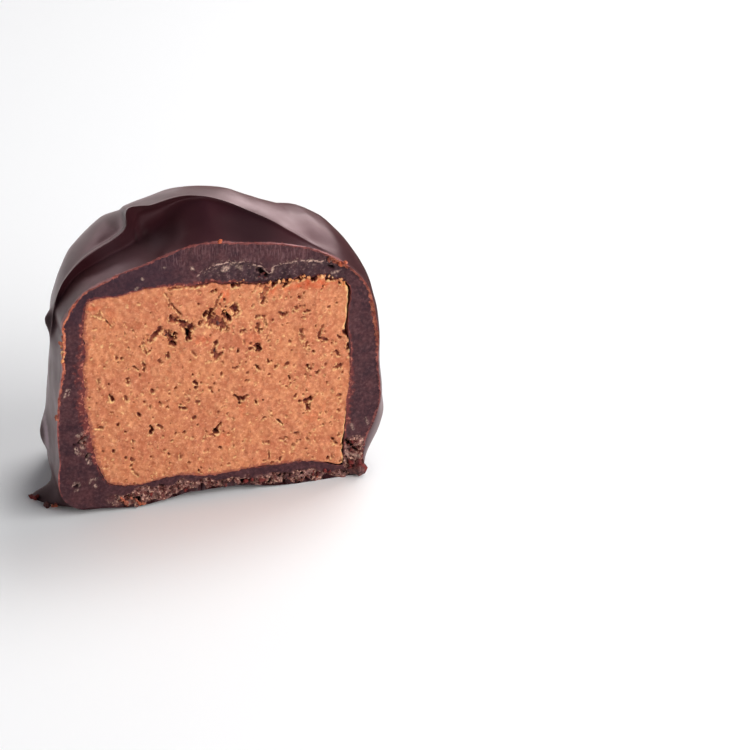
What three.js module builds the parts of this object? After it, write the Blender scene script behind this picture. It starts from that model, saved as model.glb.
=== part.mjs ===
import * as THREE from 'three';
import { mergeVertices } from 'three/addons/utils/BufferGeometryUtils.js';

// One half of a chocolate buttercream candy: a hand-dipped dark coat round a block of
// buttercream, cut from top to bottom. It stands on its base with the cut face to the
// front (-Y). Lengths are millimetres and z is the height over the base.
//
// Every section is drawn round one axis that runs straight back from the middle of the
// cut face. Angles are degrees round that axis, from the right (+X) over the top (+Z).

const AXIS_HEIGHT = 11;
const HALF_DEPTH = 14.5; // from the cut face to the furthest point of the back
const BACK_WALL = 2.6; // coat behind the buttercream
const CLEARANCE = 0.3; // between the coat and the buttercream
const BLOCK_SQUARENESS = 4.5; // how squarely the buttercream's back turns in

const ANGLE_STEPS = 120;
const FRONT_STEPS = 8; // from the cut edge to the rim of the fold
const BACK_STEPS = 13; // from the rim of the fold to the pole of the back
const CAVITY_STEPS = 7;
const CUT_STEPS = 2; // across the coat's cut wall

// Stations: [angle, value], joined by a smooth curve that closes on itself.

// The coat's outer edge in the cut face: a wide crown, straight sides and an arched base.
const CUT_EDGE = [
  [0, 14.5], [18, 15.0], [31, 15.6], [42, 15.3], [57, 14.5], [68, 13.9], [80, 13.5],
  [94, 13.7], [112, 13.7], [125, 14.4], [140, 15.4], [148, 15.4], [153, 14.7], [158, 14.3],
  [167, 13.8], [180, 13.95], [191, 14.4], [200, 15.0], [207, 16.1], [213, 16.6], [218, 16.3],
  [225, 14.7], [234, 13.3], [246, 11.4], [256, 10.4], [270, 10.1], [281, 10.4], [290, 11.3],
  [303, 13.1], [312, 14.8], [321, 16.8], [326, 15.8], [333, 15.2], [343, 15.2],
];

// The same round the buttercream: a block with tight top corners and a rounded lower left one.
const FILLING_EDGE = [
  [0, 11.9], [15, 12.2], [25, 13.1], [34, 14.4], [39, 13.85], [43, 13.15], [47, 12.55],
  [51, 11.9], [56, 11.05], [67, 10.1], [80, 9.7], [97, 9.95], [112, 11.0], [129, 12.7],
  [139, 14.4], [144, 13.8], [151, 13.0], [160, 12.3], [177, 11.55], [192, 11.6], [206, 12.2],
  [218, 12.8], [223, 12.3], [231, 11.0], [240, 9.6], [252, 8.8], [272, 8.7], [286, 8.9],
  [302, 10.3], [310, 11.4], [315, 12.8], [318.5, 14.9], [322, 14.3], [328, 13.4], [336, 12.6],
  [346, 12.0],
];

// The whole coat behind the cut, before its back is rounded off.
const BACK_EDGE = [
  [0, 15.4], [14, 15.9], [27, 16.85], [38, 16.95], [45, 17.0], [52, 16.65], [59, 15.75],
  [69, 15.5], [80, 15.8], [90, 15.75], [100, 15.75], [112, 16.1], [121, 16.9], [134, 16.75],
  [141, 16.15], [150, 15.5], [157, 14.85], [162, 14.1], [180, 13.9], [192, 14.4], [201, 15.3],
  [210, 16.4], [219, 17.5], [224, 15.9], [231, 14.4], [242, 12.9], [256, 11.8], [270, 11.4],
  [284, 11.8], [298, 12.9], [312, 15.2], [321, 17.3], [331, 17.4], [338, 17.1], [346, 16.2],
];

// How squarely the back turns in: 2 is an ellipse, 10 nearly a box.
const BACK_SQUARENESS = [
  [0, 3.1], [45, 3.0], [75, 3.5], [95, 3.6], [112, 3.2], [135, 2.8], [165, 3.0], [200, 3.7],
  [222, 5.5], [248, 9.0], [292, 9.0], [318, 5.5], [340, 3.7],
];

// The fold: the coat behind overlaps the front band along a rim. This is how far behind
// the cut the rim runs. It starts on the right shoulder and ends low on the left one.
const RIM_DEPTH = [
  [0, 3.0], [25, 1.4], [36, 0.6], [44, 0.35], [50, 0.35], [55, 0.6], [61, 1.05], [68, 1.7],
  [75, 2.4], [82, 3.3], [89, 4.1], [95, 4.5], [101, 4.5], [107, 4.1], [111.5, 3.6],
  [114, 4.0], [119, 3.6], [128, 3.2], [138, 2.9], [148, 2.6], [155, 2.9], [170, 4.0],
  [270, 4.0], [320, 2.5], [345, 2.5],
];

// The shape of the band between the cut edge and the rim: under 1 it swells out, 2 is an
// open bowl and 20 a flat shelf that ends in a sheer step.
const BAND_HOLLOW = [
  [0, 0.8], [30, 0.9], [50, 1.0], [62, 2.0], [75, 3.0], [95, 4.0], [108, 6.0], [117, 22.0],
  [148, 22.0], [154, 5.0], [159, 1.2], [165, 0.8], [340, 0.8],
];

// Shares of the band that run as a straight slope instead, from 0 to 1.
const BAND_TILT = [
  [0, 0], [40, 0.3], [48, 0.9], [88, 0.9], [95, 0.65], [102, 0.25], [108, 0.1], [113, 0],
  [200, 0], [300, 0],
];

// Radius of the rim. Behind it the coat swells or sinks to the whole form over this length.
const RIM_EDGE = [
  [0, 15.4], [25, 15.8], [38, 15.5], [44, 15.35], [50, 15.1], [55, 14.95], [62, 15.0],
  [68, 15.2], [75, 15.5], [84, 15.95], [90, 16.15], [97, 16.25], [102, 16.2], [105, 16.35],
  [108, 16.8], [111, 17.25], [112.5, 17.1], [113.7, 15.8], [116.5, 15.4], [120.5, 15.45],
  [126, 15.75], [132, 16.05], [139, 16.15], [150, 15.4], [158, 14.6], [170, 13.9],
  [180, 13.9], [192, 14.4], [201, 15.2], [210, 16.3], [219, 17.3], [224, 15.9], [231, 14.4],
  [242, 12.9], [256, 11.8], [270, 11.4], [284, 11.8], [298, 12.9], [312, 15.2], [321, 17.3],
  [331, 17.3], [338, 17.0], [346, 16.1],
];
const SWELL_LENGTH = 9;

// A raised lip along the rim. It widens as it rises and leans forward over the band, both
// by a share of its height.
const LIP_HEIGHT = [
  [0, 0], [40, 0], [52, 0.1], [75, 0.25], [90, 0.35], [103, 0.4], [107, 0.6], [111, 1.0],
  [113, 0.6], [116, 0.3], [130, 0.3], [150, 0.3], [157, 0.15], [162, 0], [180, 0], [300, 0],
];
const LIP_WIDTH = 0.2;
const LIP_SPREAD = 0.4;
const LIP_LEAN = 0.9;

// Lumps on the coat: [angle, depth behind the cut, height, radius].
const LUMPS = [
  [155.5, 4.6, 0.5, 0.8], // drip where the fold ends
  [199, 5.6, 0.75, 1.5], // flap low on the left side
];

// The foot, where the wet coat ran out on the tray: [x, y, reach, width] of each run.
const FOOT_HEIGHT = 1.8;
const FOOT_RUNS = [
  [-13.7, 4.3, 2.75, 1.5], // pointed tip on the left
  [-12.6, 2.6, 1.9, 1.3], // ledge from the tip to the cut
  [-11.5, 12.2, 0.8, 3.0],
  [0, 14.5, 0.5, 4.0],
  [10.5, 12.5, 0.9, 3.0],
  [15.4, 6.0, 0.4, 3.5],
];

/** A smooth closed curve through the stations, as a function of the angle. */
function around(stations) {
  const count = stations.length;
  const angleOf = (i) => stations[((i % count) + count) % count][0] + 360 * Math.floor(i / count);
  const valueOf = (i) => stations[((i % count) + count) % count][1];
  const secant = (i) => (valueOf(i + 1) - valueOf(i)) / (angleOf(i + 1) - angleOf(i));
  const slope = (i) => {
    const before = secant(i - 1);
    const after = secant(i);
    return before * after <= 0 ? 0 : (2 * before * after) / (before + after);
  };
  return (angle) => {
    const turn = THREE.MathUtils.euclideanModulo(angle, 360);
    let i = count - 1;
    while (i >= 0 && angleOf(i) > turn) i -= 1;
    const span = angleOf(i + 1) - angleOf(i);
    const t = (turn - angleOf(i)) / span;
    const ease = t * t * (3 - 2 * t);
    const rise = t * (1 - t) * (1 - t) * span;
    const fall = t * t * (t - 1) * span;
    return valueOf(i) + ease * (valueOf(i + 1) - valueOf(i)) + rise * slope(i) + fall * slope(i + 1);
  };
}

const cutEdge = around(CUT_EDGE);
const fillingEdge = around(FILLING_EDGE);
const backEdge = around(BACK_EDGE);
const backSquareness = around(BACK_SQUARENESS);
const rimDepth = around(RIM_DEPTH);
const bandHollow = around(BAND_HOLLOW);
const bandTilt = around(BAND_TILT);
const rimEdge = around(RIM_EDGE);
const lipHeight = around(LIP_HEIGHT);

const bell = (x) => Math.exp(-x * x);

/** The two coordinates of a superellipse's first quarter, at a turn from 0 to 90 degrees. */
function superellipse(turn, squareness) {
  const across = Math.cos(turn);
  return [across < 1e-9 ? 0 : across ** (2 / squareness), Math.sin(turn) ** (2 / squareness)];
}

/** The point at an angle and radius round the axis, a depth behind the cut. */
function polar(angle, radius, depth) {
  const a = THREE.MathUtils.degToRad(angle);
  return new THREE.Vector3(radius * Math.cos(a), depth, AXIS_HEIGHT + radius * Math.sin(a));
}

/** Depth and radius of the rim before its lip leans forward. */
function rimPoint(angle) {
  return [rimDepth(angle) + LIP_LEAN * lipHeight(angle), rimEdge(angle)];
}

/** How much of the lip is left at a distance from the rim, from 0 to 1. */
function onLip(angle, distance) {
  return bell(distance / (LIP_WIDTH + LIP_SPREAD * lipHeight(angle)));
}

/** Leans a point of the profile forward where it is on the lip. */
function lean(angle, depth, radius) {
  const [rim, high] = rimPoint(angle);
  const share = onLip(angle, Math.hypot(depth - rim, radius - high));
  return [depth - LIP_LEAN * lipHeight(angle) * share, radius];
}

/** Depth and radius on the front band: t runs from 0 at the cut edge to 1 at the rim. */
function bandProfile(angle, t) {
  const [hollow, along] = superellipse((t * Math.PI) / 2, bandHollow(angle));
  const below = THREE.MathUtils.lerp(hollow, 1 - along, bandTilt(angle));
  const [rim, high] = rimPoint(angle);
  return lean(angle, rim * along, high + (cutEdge(angle) - high) * below);
}

/** Depth and radius on the main mass: t runs from 0 at the rim to 1 at the pole. */
function massProfile(angle, t) {
  if (t === 1) return [HALF_DEPTH, 0];
  const n = backSquareness(angle);
  const lip = lipHeight(angle);
  const [rim, high] = rimPoint(angle);
  const start = Math.asin((rim / HALF_DEPTH) ** (n / 2));
  const [acrossAtRim] = superellipse(start, n);
  const [across, along] = superellipse(start + (Math.PI / 2 - start) * t ** 1.3, n);
  const depth = HALF_DEPTH * along;
  const swell = backEdge(angle) - (high - lip) / acrossAtRim;
  const left = Math.max(0, 1 - (depth - rim) / SWELL_LENGTH) ** 2;
  const radius = (backEdge(angle) - swell * left) * across + lip * onLip(angle, depth - rim);
  return lean(angle, depth, radius);
}

/** Height of the lumps, which fade to nothing at the cut edge. */
function lumpHeight(angle, radius, depth) {
  let height = 0;
  for (const [lumpAngle, lumpDepth, lumpRise, lumpRadius] of LUMPS) {
    const across = THREE.MathUtils.degToRad(angle - lumpAngle) * radius;
    height += lumpRise * bell(Math.hypot(across, depth - lumpDepth) / lumpRadius);
  }
  return height * THREE.MathUtils.smoothstep(depth, 0, 1.2);
}

/** Spreads a low point outwards into the foot and sets it on the flat base. */
function settle(point) {
  const low = Math.max(0, 1 - Math.max(point.z, 0) / FOOT_HEIGHT) ** 2;
  const out = new THREE.Vector2(point.x, point.y);
  let reach = 0;
  for (const [x, y, runReach, width] of FOOT_RUNS) {
    reach += runReach * bell(Math.hypot(point.x - x, point.y - y) / width);
  }
  out.setLength(out.length() + low * reach * THREE.MathUtils.smoothstep(point.y, 0, 1.5));
  return new THREE.Vector3(out.x, out.y, Math.max(point.z, 0));
}

/** A point of the coat's outside, by angle and by profile row from the cut edge to the pole. */
function coatPoint(angle, row) {
  const onBand = row < FRONT_STEPS;
  const [depth, radius] = onBand
    ? bandProfile(angle, row / FRONT_STEPS)
    : massProfile(angle, (row - FRONT_STEPS) / BACK_STEPS);
  return settle(polar(angle, radius + lumpHeight(angle, radius, depth), depth));
}

/** A block with the buttercream's outline, grown by a margin: row 0 at the cut, last at the pole. */
function blockPoint(angle, row, margin) {
  const [across, along] = superellipse(((row / CAVITY_STEPS) * Math.PI) / 2, BLOCK_SQUARENESS);
  const depth = HALF_DEPTH - BACK_WALL - CLEARANCE + margin;
  return polar(angle, (fillingEdge(angle) + margin) * across, depth * along);
}

/**
 * One closed surface from rings of points, each a function of the angle. The first and
 * last ring are single points (poles), and rings run so that the faces point outwards.
 */
function closedFromRings(rings) {
  const positions = [];
  const index = [];
  for (const ring of rings) {
    for (let i = 0; i < ANGLE_STEPS; i += 1) {
      positions.push(...ring((360 * i) / ANGLE_STEPS).toArray());
    }
  }
  for (let r = 0; r + 1 < rings.length; r += 1) {
    for (let i = 0; i < ANGLE_STEPS; i += 1) {
      const a = r * ANGLE_STEPS + i;
      const b = r * ANGLE_STEPS + ((i + 1) % ANGLE_STEPS);
      index.push(a, a + ANGLE_STEPS, b);
      index.push(b, a + ANGLE_STEPS, b + ANGLE_STEPS);
    }
  }
  const geometry = new THREE.BufferGeometry();
  geometry.setAttribute('position', new THREE.Float32BufferAttribute(positions, 3));
  geometry.setIndex(index);
  const merged = mergeVertices(geometry, 1e-4);
  const kept = [];
  for (let k = 0; k < merged.index.count; k += 3) {
    const [a, b, c] = [0, 1, 2].map((j) => merged.index.getX(k + j));
    if (a !== b && b !== c && c !== a) kept.push(a, b, c);
  }
  merged.setIndex(kept);
  merged.computeVertexNormals();
  return merged;
}

/** The coat: the wall of the cavity from its pole forward, the cut ring, then the outside. */
function coatGeometry() {
  const rings = [];
  for (let row = CAVITY_STEPS; row >= 0; row -= 1) {
    rings.push((angle) => blockPoint(angle, row, CLEARANCE));
  }
  for (let step = 1; step < CUT_STEPS; step += 1) {
    rings.push((angle) => blockPoint(angle, 0, CLEARANCE).lerp(coatPoint(angle, 0), step / CUT_STEPS));
  }
  for (let row = 0; row <= FRONT_STEPS + BACK_STEPS; row += 1) {
    rings.push((angle) => coatPoint(angle, row));
  }
  return closedFromRings(rings);
}

/** The buttercream: its cut face from the middle out, then the sides back to the pole. */
function fillingGeometry() {
  const faceSteps = 2;
  const rings = [];
  for (let step = 0; step < faceSteps; step += 1) {
    rings.push((angle) => polar(angle, (fillingEdge(angle) * step) / faceSteps, 0));
  }
  for (let row = 0; row <= CAVITY_STEPS; row += 1) {
    rings.push((angle) => blockPoint(angle, row, 0));
  }
  return closedFromRings(rings);
}

function piece(name, geometry, color, roughness) {
  const material = new THREE.MeshStandardMaterial({ color, roughness, metalness: 0 });
  const mesh = new THREE.Mesh(geometry, material);
  mesh.name = name;
  return mesh;
}

const candy = new THREE.Group();
candy.add(piece('dark_chocolate_coat', coatGeometry(), 0x4a2c30, 0.38));
candy.add(piece('buttercream_centre', fillingGeometry(), 0xd28a62, 0.85));

// The origin is the middle of the base under the whole piece.
const bounds = new THREE.Box3().setFromObject(candy);
const middle = bounds.getCenter(new THREE.Vector3());
candy.position.set(-middle.x, -middle.y, -bounds.min.z);

export default candy;
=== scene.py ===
"""Looks of the cut chocolate buttercream candy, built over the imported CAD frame.

Shapes are worked out in millimetres in the frame of the cut: x along the cut face, y behind
it, z up from the base. to_frame() takes them to the row frame, in metres.
"""
import itertools
import math

import bmesh
import bpy
import numpy as np
from mathutils import Euler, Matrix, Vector


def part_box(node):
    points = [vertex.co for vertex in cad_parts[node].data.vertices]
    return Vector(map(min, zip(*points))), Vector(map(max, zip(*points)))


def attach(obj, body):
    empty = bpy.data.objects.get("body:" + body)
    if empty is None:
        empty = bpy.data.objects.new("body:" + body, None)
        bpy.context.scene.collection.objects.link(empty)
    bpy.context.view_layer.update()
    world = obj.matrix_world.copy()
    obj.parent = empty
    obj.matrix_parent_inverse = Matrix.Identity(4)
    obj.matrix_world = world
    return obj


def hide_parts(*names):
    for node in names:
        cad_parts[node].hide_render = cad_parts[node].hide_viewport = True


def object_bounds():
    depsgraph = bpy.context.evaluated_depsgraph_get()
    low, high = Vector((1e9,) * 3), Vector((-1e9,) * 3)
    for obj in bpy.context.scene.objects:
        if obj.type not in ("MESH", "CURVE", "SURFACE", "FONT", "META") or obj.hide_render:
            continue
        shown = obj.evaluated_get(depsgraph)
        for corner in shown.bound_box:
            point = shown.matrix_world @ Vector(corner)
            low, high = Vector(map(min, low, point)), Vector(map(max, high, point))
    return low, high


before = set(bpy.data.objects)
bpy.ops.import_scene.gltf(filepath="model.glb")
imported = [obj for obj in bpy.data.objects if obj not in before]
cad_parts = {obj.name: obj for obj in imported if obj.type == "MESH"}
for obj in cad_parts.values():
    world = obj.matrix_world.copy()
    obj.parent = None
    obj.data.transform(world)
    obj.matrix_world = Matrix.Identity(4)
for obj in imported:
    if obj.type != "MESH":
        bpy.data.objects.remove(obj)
cad_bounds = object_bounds()

MM = 0.001
COAT_NODE = "dark_chocolate_coat"
FILLING_NODE = "buttercream_centre"

# -------------------- plain maths

ROOT_TWO = 1.414
NOISE_OFFSET = 1000.0  # keeps the noise's lattice clear of its origin
NOISE_GAIN = 1.6  # spreads the noise over about -1 to 1


def smoothstep(x, low, high):
    t = np.clip((np.asarray(x, float) - low) / (high - low), 0, 1)
    return t * t * (3 - 2 * t)


def lerp(a, b, t):
    return a + (b - a) * t


def bell(x):
    return np.exp(-np.square(x))


def around(stations):
    """A smooth closed curve through [angle, value] stations, as a function of angles."""
    angle = np.array([s[0] for s in stations], float)
    value = np.array([s[1] for s in stations], float)
    count = len(angle)
    span = np.diff(np.append(angle, angle[0] + 360))
    secant = (np.roll(value, -1) - value) / span
    before = np.roll(secant, 1)
    both = before + secant
    safe = np.where(np.abs(both) < 1e-12, 1, both)
    slope = np.where(before * secant <= 0, 0, 2 * before * secant / safe)

    def curve(angles):
        turn = np.mod(angles, 360)
        i = np.searchsorted(angle, turn, side="right") - 1
        start = np.where(i < 0, angle[-1] - 360, angle[i])
        i = np.mod(i, count)
        j = np.mod(i + 1, count)
        t = (turn - start) / span[i]
        ease = t * t * (3 - 2 * t)
        rise = t * (1 - t) ** 2 * span[i] * slope[i]
        fall = t * t * (t - 1) * span[i] * slope[j]
        return value[i] + ease * (value[j] - value[i]) + rise + fall

    return curve


def hash01(ix, iy, iz, seed):
    """A repeatable number from 0 to 1 for each whole-numbered lattice point."""
    h = (ix * 374761393 + iy * 668265263 + iz * 2147483647 + seed * 1274126177) & 0xFFFFFFFF
    h = ((h ^ (h >> 13)) * 1274126177) & 0xFFFFFFFF
    h = ((h ^ (h >> 16)) * 2246822519) & 0xFFFFFFFF
    return ((h ^ (h >> 15)) & 0xFFFFFF) / float(0xFFFFFF)


def noise(points, size, seed=0, octaves=1, roughness=0.5):
    """Smooth random values from -1 to 1 over points, with features about `size` across.

    The seed picks the pattern.
    """
    total = np.zeros(points.shape[:-1])
    weight = 1.0
    weights = 0.0
    for octave in range(octaves):
        p = points / (size * 0.5 ** octave) + NOISE_OFFSET
        cell = np.floor(p).astype(np.int64)
        f = p - cell
        f = f * f * f * (f * (f * 6 - 15) + 10)
        value = 0
        for corner in itertools.product((0, 1), repeat=3):
            share = np.where(corner, f, 1 - f).prod(-1)
            value = value + share * hash01(*np.moveaxis(cell + corner, -1, 0), seed + 17 * octave)
        total += weight * (2 * value - 1)
        weights += weight
        weight *= roughness
    return total / weights * NOISE_GAIN


def ring_smooth(values, width):
    """Rounds off a closed row with a bell that is `width` samples wide."""
    reach = int(3 * width) + 1
    offsets = np.arange(-reach, reach + 1)
    weights = bell(offsets / (ROOT_TWO * width))
    weights /= weights.sum()
    return sum(w * np.roll(values, k, 0) for k, w in zip(offsets, weights))


# -------------------- driving dimensions

AXIS_HEIGHT = 11.0
HALF_DEPTH = 14.5
BACK_WALL = 2.6
CLEARANCE = 0.3
FILLING_DEPTH = HALF_DEPTH - BACK_WALL - CLEARANCE
BLOCK_SQUARENESS = 4.5
SEAM = 0.01  # left open between the coat and the buttercream

# The outlines and depths run through the same stations as the solids.
cut_edge = around([
    [0, 14.5], [18, 15.0], [31, 15.6], [42, 15.3], [57, 14.5], [68, 13.9], [80, 13.5],
    [94, 13.7], [112, 13.7], [125, 14.4], [140, 15.4], [148, 15.4], [153, 14.7],
    [158, 14.3], [167, 13.8], [180, 13.95], [191, 14.4], [200, 15.0], [207, 16.1],
    [213, 16.6], [218, 16.3], [225, 14.7], [234, 13.3], [246, 11.4], [256, 10.4],
    [270, 10.1], [281, 10.4], [290, 11.3], [303, 13.1], [312, 14.8], [321, 16.8],
    [326, 15.8], [333, 15.2], [343, 15.2],
])
filling_edge = around([
    [0, 11.9], [15, 12.2], [25, 13.1], [34, 14.4], [39, 13.85], [43, 13.15], [47, 12.55],
    [51, 11.9], [56, 11.05], [67, 10.1], [80, 9.7], [97, 9.95], [112, 11.0], [129, 12.7],
    [139, 14.4], [144, 13.8], [151, 13.0], [160, 12.3], [177, 11.55], [192, 11.6],
    [206, 12.2], [218, 12.8], [223, 12.3], [231, 11.0], [240, 9.6], [252, 8.8], [272, 8.7],
    [286, 8.9], [302, 10.3], [310, 11.4], [315, 12.8], [318.5, 14.9], [322, 14.3],
    [328, 13.4], [336, 12.6], [346, 12.0],
])
# The run of stations along the underside that the back and the rim share.
UNDERSIDE = [
    [224, 15.9], [231, 14.4], [242, 12.9], [256, 11.8], [270, 11.4], [284, 11.8], [298, 12.9],
    [312, 15.2], [321, 17.3],
]
back_edge = around([
    [0, 15.4], [14, 15.9], [27, 16.85], [38, 16.95], [45, 17.0], [52, 16.65], [59, 15.75],
    [69, 15.5], [80, 15.8], [90, 15.75], [100, 15.75], [112, 16.1], [121, 16.9],
    [134, 16.75], [141, 16.15], [150, 15.5], [157, 14.85], [162, 14.1], [180, 13.9],
    [192, 14.4], [201, 15.3], [210, 16.4], [219, 17.5], *UNDERSIDE, [331, 17.4], [338, 17.1],
    [346, 16.2],
])
back_squareness = around([
    [0, 3.1], [45, 3.0], [75, 3.5], [95, 3.6], [112, 3.2], [135, 2.8], [165, 3.0],
    [200, 3.7], [222, 5.5], [248, 9.0], [292, 9.0], [318, 5.5], [340, 3.7],
])
rim_depth = around([
    [0, 3.0], [25, 1.4], [36, 0.6], [44, 0.35], [50, 0.35], [55, 0.6], [61, 1.05], [68, 1.7],
    [75, 2.4], [82, 3.3], [89, 4.1], [95, 4.5], [101, 4.5], [107, 4.1], [111.5, 3.6],
    [114, 4.0], [119, 3.6], [128, 3.2], [138, 2.9], [148, 2.6], [155, 2.9], [170, 4.0],
    [270, 4.0], [320, 2.5], [345, 2.5],
])
rim_edge = around([
    [0, 15.4], [25, 15.8], [38, 15.5], [44, 15.35], [50, 15.1], [55, 14.95], [62, 15.0],
    [68, 15.2], [75, 15.5], [84, 15.95], [90, 16.15], [97, 16.25], [102, 16.2], [105, 16.35],
    [108, 16.8], [111, 17.25], [112.5, 17.1], [113.7, 15.8], [116.5, 15.4], [120.5, 15.45],
    [126, 15.75], [132, 16.05], [139, 16.15], [150, 15.4], [158, 14.6], [170, 13.9],
    [180, 13.9], [192, 14.4], [201, 15.2], [210, 16.3], [219, 17.3], *UNDERSIDE, [331, 17.3],
    [338, 17.0], [346, 16.1],
])
SWELL_LENGTH = 9.0
lip_height = around([
    [0, 0], [40, 0], [52, 0.1], [75, 0.25], [90, 0.35], [103, 0.4], [107, 0.6], [111, 1.0],
    [113, 0.6], [116, 0.3], [130, 0.3], [150, 0.3], [157, 0.15], [162, 0], [180, 0],
    [300, 0],
])
LIP_WIDTH = 0.2
LIP_SPREAD = 0.4
LIP_LEAN = 0.9
band_hollow = around([
    [0, 0.8], [30, 0.9], [50, 1.0], [62, 2.0], [75, 3.0], [95, 4.0], [108, 6.0], [117, 22.0],
    [148, 22.0], [154, 5.0], [159, 1.2], [165, 0.8], [340, 0.8],
])
band_tilt = around([
    [0, 0], [40, 0.3], [48, 0.9], [88, 0.9], [95, 0.65], [102, 0.25], [108, 0.1], [113, 0],
    [200, 0], [300, 0],
])
# Lumps on the outside: [angle, depth, height, radius].
LUMPS = [[155.5, 4.6, 0.5, 0.8], [199, 5.6, 0.75, 1.5]]
LUMP_START = 1.2  # depth over which the lumps fade in behind the cut
FOOT_HEIGHT = 1.8
FOOT_START = 1.5  # depth over which the foot fades in behind the cut
# Where the foot runs out over the base: [x, y, reach, width].
FOOT_RUNS = [
    [-13.7, 4.3, 2.75, 1.5], [-12.6, 2.6, 1.9, 1.3], [-11.5, 12.2, 0.8, 3.0],
    [0, 14.5, 0.5, 4.0], [10.5, 12.5, 0.9, 3.0], [15.4, 6.0, 0.4, 3.5],
]

# Mesh density.
AROUND = 720
BAND_SAMPLES = 60
MASS_SAMPLES = 160
MASS_SAMPLE_CROWDING = 1.3  # towards the rim
PROFILE_STEP = 0.03
BAND_ROWS = 44
MASS_ROWS = 50
MASS_ROW_CROWDING = 1.35
CUT_ROWS = 22
CAVITY_ROWS = 8
FACE_COLUMNS = 300
FACE_ROWS = 240


# -------------------- the shape of the candy

ANGLES = np.arange(AROUND) * 360.0 / AROUND
STATION_BLUR = 1.1  # samples


def polar(angle, radius, depth):
    a = np.radians(angle)
    x = radius * np.cos(a)
    z = AXIS_HEIGHT + radius * np.sin(a)
    return np.stack(np.broadcast_arrays(x, depth, z), -1)


def superellipse(turn, squareness):
    """The two coordinates of a superellipse's first quarter, at a turn from 0 to 90 degrees."""
    across = np.maximum(np.cos(turn), 0)
    across = np.where(across < 1e-9, 0, across)
    return across ** (2 / squareness), np.sin(turn) ** (2 / squareness)


def coat_profile(angle):
    """The coat's outside at one angle as rows of (depth, radius); the band's come first."""
    low = cut_edge(angle)
    lip = lip_height(angle)
    rim = rim_depth(angle) + LIP_LEAN * lip
    high = rim_edge(angle)
    full = back_edge(angle)
    n = back_squareness(angle)
    turn = np.linspace(0, 1, BAND_SAMPLES) * np.pi / 2
    below, along = superellipse(turn, band_hollow(angle))
    below = lerp(below, 1 - along, band_tilt(angle))
    band = np.stack([rim * along, high + (low - high) * below], -1)
    start = math.asin((rim / HALF_DEPTH) ** (n / 2))
    share = np.linspace(0, 1, MASS_SAMPLES) ** MASS_SAMPLE_CROWDING
    across, along = superellipse(start + (np.pi / 2 - start) * share, n)
    depth = HALF_DEPTH * along
    swell = full - (high - lip) / across[0]
    rise = np.clip(1 - (depth - rim) / SWELL_LENGTH, 0, 1) ** 2
    width = LIP_WIDTH + LIP_SPREAD * lip
    radius = (full - swell * rise) * across + lip * bell((depth - rim) / width)
    radius[-1] = 0
    profile = np.concatenate([band, np.stack([depth, radius], -1)[1:]])
    from_rim = np.hypot(profile[:, 0] - rim, profile[:, 1] - high)
    profile[:, 0] -= LIP_LEAN * lip * bell(from_rim / width)
    return profile


def resample(profile, distances, length):
    return np.stack([np.interp(distances, length, profile[:, k]) for k in (0, 1)], -1)


EDGE_ROUNDING = 0.06  # how far the rim and the step are rounded off along the profile


def coat_rows():
    """Depth and radius of the coat's outside, as arrays of rows by angles."""
    rows = np.zeros((BAND_ROWS + MASS_ROWS + 1, AROUND, 2))
    for k, angle in enumerate(ANGLES):
        profile = coat_profile(angle)
        length = np.append(0, np.cumsum(np.hypot(*np.diff(profile, axis=0).T)))
        rim_at = length[BAND_SAMPLES - 1]
        pad = 4 * EDGE_ROUNDING
        even = np.arange(-pad, length[-1] + pad, PROFILE_STEP)
        inside = resample(profile, np.clip(even, 0, length[-1]), length)
        before = even < 0
        first = (profile[1] - profile[0]) / max(length[1], 1e-6)
        inside[before] = profile[0] + even[before, None] * first
        beyond = even > length[-1]
        inside[beyond, 1] = -(even[beyond] - length[-1])
        reach = int(3 * EDGE_ROUNDING / PROFILE_STEP)
        offsets = np.arange(-reach, reach + 1) * PROFILE_STEP
        kernel = bell(offsets / (ROOT_TWO * EDGE_ROUNDING))
        kernel /= kernel.sum()
        soft = np.stack([np.convolve(inside[:, j], kernel, "same") for j in (0, 1)], -1)
        band_at = rim_at * np.linspace(0, 1, BAND_ROWS + 1)
        share = np.linspace(0, 1, MASS_ROWS + 1) ** MASS_ROW_CROWDING
        mass_at = rim_at + (length[-1] - rim_at) * share
        at = np.concatenate([band_at, mass_at[1:]])
        rows[:, k] = resample(soft, at, even)
        rows[0, k] = profile[0]
        rows[-1, k] = [HALF_DEPTH, 0]
    for row in rows[:-1]:
        row[:] = ring_smooth(row, STATION_BLUR)
    rows[0, :, 0] = 0
    return rows


def lump_height(angle, radius, depth):
    height = 0
    for lump_angle, lump_depth, rise, lump_radius in LUMPS:
        across = np.radians(angle - lump_angle) * radius
        height = height + rise * bell(np.hypot(across, depth - lump_depth) / lump_radius)
    return height * smoothstep(depth, 0, LUMP_START)


def settle(points):
    """Spreads low points outwards into the foot and sets them on the flat base."""
    x, y, z = (points[..., k] for k in range(3))
    low = np.maximum(0, 1 - np.maximum(z, 0) / FOOT_HEIGHT) ** 2
    reach = 0
    for run_x, run_y, run_reach, width in FOOT_RUNS:
        reach = reach + run_reach * bell(np.hypot(x - run_x, y - run_y) / width)
    length = np.maximum(np.hypot(x, y), 1e-9)
    grow = 1 + low * reach * smoothstep(y, 0, FOOT_START) / length
    return np.stack([x * grow, y * grow, np.maximum(z, 0)], -1)


def grid_normals(grid):
    """Unit normals of a grid of points that closes round its second axis."""
    down = np.gradient(grid, axis=0)
    across = np.roll(grid, -1, 1) - np.roll(grid, 1, 1)
    normal = np.cross(across, down)
    length = np.linalg.norm(normal, axis=-1, keepdims=True)
    return normal / np.maximum(length, 1e-9)


def coat_outside():
    rows = coat_rows()
    depth, radius = rows[..., 0], rows[..., 1]
    radius = radius + lump_height(ANGLES, radius, depth)
    radius[-1] = 0
    return settle(polar(ANGLES, radius, depth))


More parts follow.
